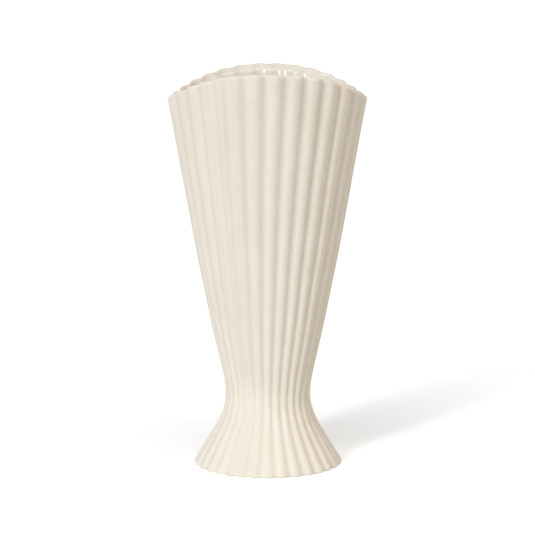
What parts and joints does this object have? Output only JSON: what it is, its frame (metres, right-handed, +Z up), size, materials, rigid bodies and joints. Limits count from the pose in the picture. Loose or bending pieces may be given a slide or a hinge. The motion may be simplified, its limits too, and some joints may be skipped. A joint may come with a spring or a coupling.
{
  "type": "fan vase",
  "caption": "Tall fluted stoneware vase: a flaring cone with an arched, scalloped lip on a pinched waist and a flared foot, glazed inside to hold water and cut flowers.",
  "frame": {"origin": "middle of the face the vase stands on", "axes": "+Z up along the vase's axis, the rim's arch peaks at -Y (front) and +Y (back) and dips at +X and -X"},
  "size_m": [0.1984, 0.2086, 0.399],
  "materials": {
    "stoneware": "matte",
    "glaze": "gloss"
  },
  "bodies": {
    "root": {"stoneware_body": "stoneware", "inner_glaze": "glaze"}
  },
  "joints": []
}
